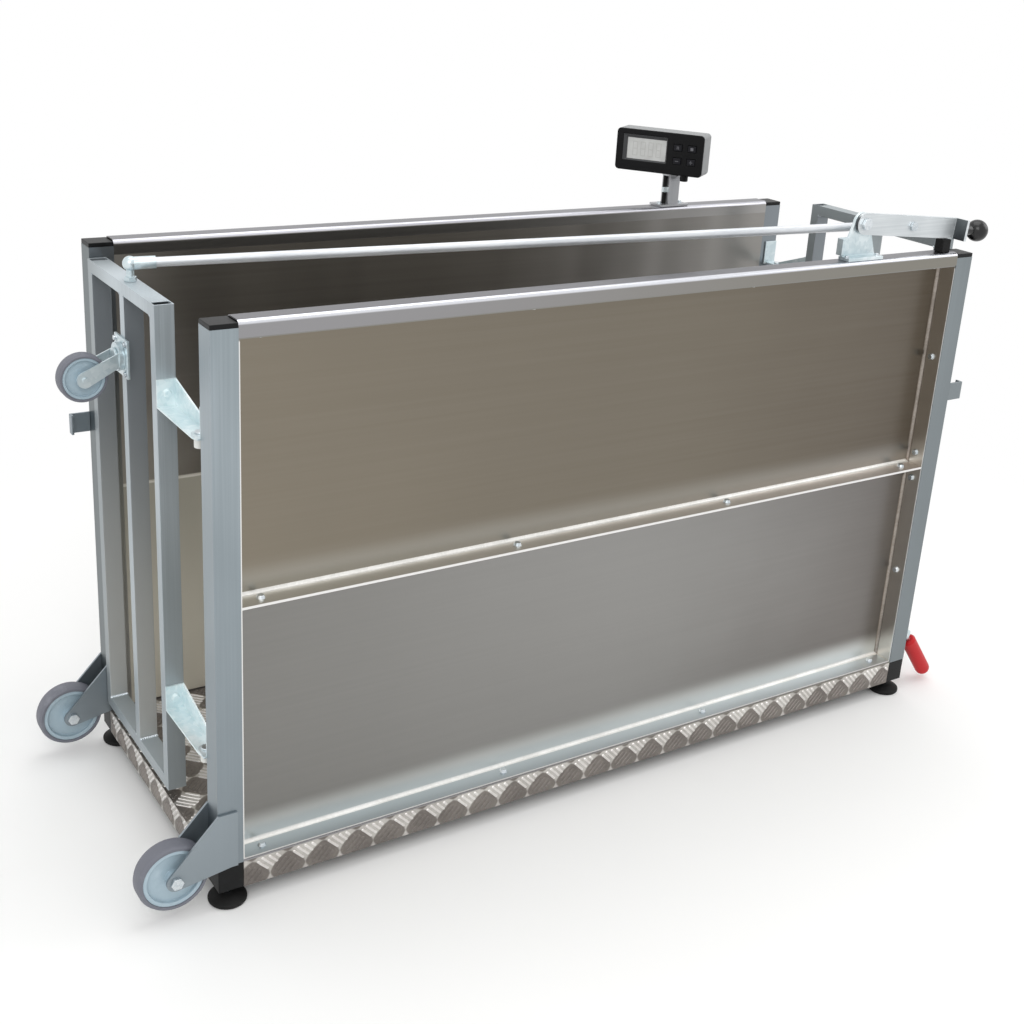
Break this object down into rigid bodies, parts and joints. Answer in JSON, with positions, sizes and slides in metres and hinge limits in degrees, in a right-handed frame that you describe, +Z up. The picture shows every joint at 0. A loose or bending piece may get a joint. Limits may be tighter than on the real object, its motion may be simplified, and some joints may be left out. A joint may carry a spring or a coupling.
{
  "type": "livestock weighing crate",
  "caption": "Long open-topped animal weighing crate: sheet walls on square posts, tread floor on load cells, bar gates at both ends, lever and rod, carrying wheels and a swivelling indicator.",
  "frame": {"origin": "on the ground, midway between the posts along X and under the middle of the whole outline along Y, which is 35.3 mm to the far side of the middle of the crate because the indicator overhangs", "axes": "+X along the crate from the exit gate (with the castor) to the entry gate, +Y from the lever wall to the indicator wall, +Z up"},
  "size_m": [1.694, 0.6646, 1.0663],
  "materials": {
    "post_metal": "satin",
    "rail_metal": "satin",
    "wall_sheet": "bright rolled",
    "zinc_plate": "bright zinc",
    "tread_plate": "raised tread",
    "cell_metal": "machined",
    "black_plastic": "fine grain",
    "black_rubber": "matt",
    "grey_tyre": "matt",
    "rim_plastic": "satin",
    "white_nylon": "satin",
    "knob_plastic": "gloss",
    "red_grip": "satin",
    "housing_plastic": "fine grain",
    "front_plastic": "satin",
    "display_glass": "smooth",
    "board_laminate": "satin",
    "key_plastic": "satin"
  },
  "bodies": {
    "crate": {"post_near_left": "post_metal", "post_far_left": "post_metal", "post_near_right": "post_metal", "post_far_right": "post_metal", "post_caps": "black_plastic", "corner_blocks": "black_plastic", "top_rails": "rail_metal", "bottom_rails": "rail_metal", "near_upper_sheet": "wall_sheet", "near_lower_sheet": "wall_sheet", "far_upper_sheet": "wall_sheet", "far_lower_sheet": "wall_sheet", "sheet_bolts": "zinc_plate", "floor_pan": "tread_plate", "load_cells": "cell_metal", "junction_box": "black_plastic", "foot_studs": "zinc_plate", "foot_pads": "black_rubber", "wheel_brackets": "post_metal", "wheel_axles": "zinc_plate", "hinge_lugs": "zinc_plate", "hinge_pins": "zinc_plate", "hinge_bushes": "white_nylon", "gate_keepers": "zinc_plate", "lever_bracket": "zinc_plate", "lever_pivot": "zinc_plate", "lever_rest": "black_rubber", "indicator_pole": "rail_metal", "indicator_cable": "black_rubber", "handle_lugs": "zinc_plate"},
    "near_wheel": {"near_wheel_rim": "rim_plastic", "near_wheel_tyre": "grey_tyre"},
    "far_wheel": {"far_wheel_rim": "rim_plastic", "far_wheel_tyre": "grey_tyre"},
    "exit_gate": {"exit_gate_frame": "post_metal", "exit_hinge_arms": "zinc_plate", "castor_plate": "zinc_plate"},
    "castor": {"castor_fork": "zinc_plate"},
    "castor_wheel": {"castor_rim": "rim_plastic", "castor_tyre": "grey_tyre"},
    "entry_gate": {"entry_gate_frame": "post_metal", "entry_hinge_arms": "zinc_plate"},
    "lever": {"lever_bar": "rail_metal", "lever_knob": "knob_plastic"},
    "rod_stud": {"ball_stud": "zinc_plate"},
    "rod": {"control_rod": "rail_metal", "rod_joint": "zinc_plate"},
    "indicator": {"indicator_housing": "housing_plastic", "indicator_front": "front_plastic", "lcd_window": "display_glass", "indicator_board": "board_laminate", "indicator_plug": "black_plastic"},
    "key_1": {"key_1": "key_plastic"},
    "key_2": {"key_2": "key_plastic"},
    "key_3": {"key_3": "key_plastic"},
    "key_4": {"key_4": "key_plastic"},
    "near_handle": {"near_handle_bar": "zinc_plate", "near_handle_grip": "red_grip"},
    "far_handle": {"far_handle_bar": "zinc_plate", "far_handle_grip": "red_grip"}
  },
  "joints": [
    {"name": "near_wheel_spin", "type": "hinge", "parent": "crate", "child": "near_wheel", "pos_m": [-0.801, -0.29529, 0.077], "axis": [0, 1, 0], "continuous": true},
    {"name": "far_wheel_spin", "type": "hinge", "parent": "crate", "child": "far_wheel", "pos_m": [-0.801, 0.22471, 0.077], "axis": [0, 1, 0], "continuous": true},
    {"name": "exit_gate_swing", "type": "hinge", "parent": "crate", "child": "exit_gate", "pos_m": [-0.727, -0.25329, 0.5], "axis": [0, 0, 1], "range_deg": [0, 70.15]},
    {"name": "castor_swivel", "type": "hinge", "parent": "exit_gate", "child": "castor", "pos_m": [-0.74, 0.03226, 0.781], "axis": [1, 0, 0], "continuous": true},
    {"name": "castor_spin", "type": "hinge", "parent": "castor", "child": "castor_wheel", "pos_m": [-0.804, 0.03226, 0.754], "axis": [0, 1, 0], "continuous": true},
    {"name": "entry_gate_swing", "type": "hinge", "parent": "crate", "child": "entry_gate", "pos_m": [0.727, 0.18271, 0.5], "axis": [0, 0, 1], "range_deg": [0, 85]},
    {"name": "lever_swing", "type": "hinge", "parent": "crate", "child": "lever", "pos_m": [0.462, -0.29629, 0.982], "axis": [0, -1, 0], "range_deg": [0, 190]},
    {"name": "rod_stud_turn", "type": "hinge", "parent": "lever", "child": "rod_stud", "pos_m": [0.58154, -0.27929, 0.97154], "axis": [0, -1, 0], "range_deg": [-190, 0]},
    {"name": "rod_yaw", "type": "hinge", "parent": "rod_stud", "child": "rod", "pos_m": [0.58154, -0.27929, 0.97154], "axis": [0, 0, 1], "range_deg": [0, 8.08]},
    {"name": "indicator_swivel", "type": "hinge", "parent": "crate", "child": "indicator", "pos_m": [0.448, 0.22471, 0.984], "axis": [0, 0, 1], "range_deg": [-60, 60]},
    {"name": "key_1_press", "type": "slide", "parent": "indicator", "child": "key_1", "axis": [0.809, 0.5878, 0], "range_m": [0, 0.0008], "stiffness_N_per_m": 400, "springref_m": -0.0005},
    {"name": "key_2_press", "type": "slide", "parent": "indicator", "child": "key_2", "axis": [0.809, 0.5878, 0], "range_m": [0, 0.0008], "stiffness_N_per_m": 400, "springref_m": -0.0005},
    {"name": "key_3_press", "type": "slide", "parent": "indicator", "child": "key_3", "axis": [0.809, 0.5878, 0], "range_m": [0, 0.0008], "stiffness_N_per_m": 400, "springref_m": -0.0005},
    {"name": "key_4_press", "type": "slide", "parent": "indicator", "child": "key_4", "axis": [0.809, 0.5878, 0], "range_m": [0, 0.0008], "stiffness_N_per_m": 400, "springref_m": -0.0005},
    {"name": "near_handle_lift", "type": "hinge", "parent": "crate", "child": "near_handle", "pos_m": [0.749, -0.29529, 0.123], "axis": [0, -1, 0], "range_deg": [0, 60]},
    {"name": "far_handle_lift", "type": "hinge", "parent": "crate", "child": "far_handle", "pos_m": [0.749, 0.22471, 0.123], "axis": [0, -1, 0], "range_deg": [0, 60]}
  ],
  "couplings": [
    {"joint": "exit_gate_swing", "follows": "lever_swing", "ratio": 0.36921},
    {"joint": "rod_stud_turn", "follows": "lever_swing", "ratio": -1},
    {"joint": "rod_yaw", "follows": "lever_swing", "ratio": 0.04252}
  ]
}
